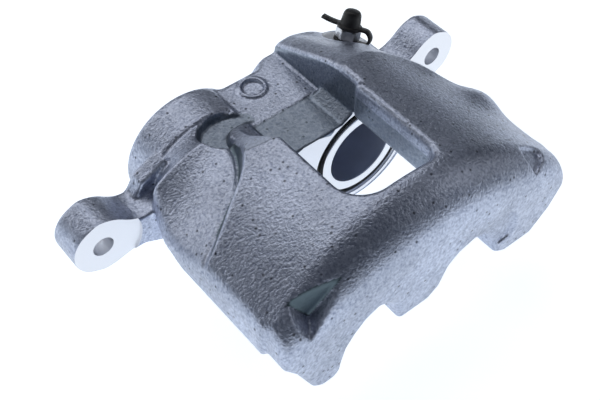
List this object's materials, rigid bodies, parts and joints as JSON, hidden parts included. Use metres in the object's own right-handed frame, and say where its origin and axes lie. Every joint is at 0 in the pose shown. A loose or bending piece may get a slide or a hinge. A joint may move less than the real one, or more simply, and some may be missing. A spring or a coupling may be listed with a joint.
{
  "type": "floating brake caliper",
  "caption": "Cast floating brake caliper with side-by-side pistons, guide-pin ears, open bridge window, fingered outboard leg, capped bleed screw.",
  "frame": {"origin": "midway between the axes of the two guide-pin holes, on the machined outboard face of the ears", "axes": "+X from the left ear to the right ear, +Y inboard towards the vehicle (the pistons push towards -Y), +Z radially outwards, away from the hub"},
  "size_m": [0.2288, 0.1435, 0.0869],
  "materials": {
    "plated_cast_iron": "zinc-plated as-cast skin with machined faces",
    "piston_steel": "ground and chrome-plated",
    "seal_rubber": "matte",
    "boot_rubber": "satin",
    "ring_steel": "plain",
    "screw_steel": "zinc-plated",
    "cap_rubber": "satin"
  },
  "bodies": {
    "caliper": {"caliper_housing": "plated_cast_iron", "piston_seal_left": "seal_rubber", "piston_seal_right": "seal_rubber", "dust_boot_left": "boot_rubber", "dust_boot_right": "boot_rubber", "boot_retaining_ring_left": "ring_steel", "boot_retaining_ring_right": "ring_steel", "bleed_cap_strap": "cap_rubber"},
    "piston_left": {"piston_left": "piston_steel"},
    "piston_right": {"piston_right": "piston_steel"},
    "bleed_screw": {"bleed_screw": "screw_steel"},
    "bleed_cap": {"bleed_cap": "cap_rubber"}
  },
  "joints": [
    {"name": "piston_left_slide", "type": "slide", "parent": "caliper", "child": "piston_left", "axis": [0, -1, 0], "range_m": [0, 0.02], "deforming": ["dust_boot_left"]},
    {"name": "piston_right_slide", "type": "slide", "parent": "caliper", "child": "piston_right", "axis": [0, -1, 0], "range_m": [0, 0.02], "deforming": ["dust_boot_right"]},
    {"name": "bleed_screw_turn", "type": "hinge", "parent": "caliper", "child": "bleed_screw", "pos_m": [0.0577, 0.0208, 0.0192], "axis": [0.33, 0.1, 0.9387], "range_deg": [0, 360]},
    {"name": "bleed_cap_pull", "type": "slide", "parent": "caliper", "child": "bleed_cap", "axis": [0.33, 0.1, 0.9387], "range_m": [0, 0.014], "deforming": ["bleed_cap_strap"]}
  ]
}
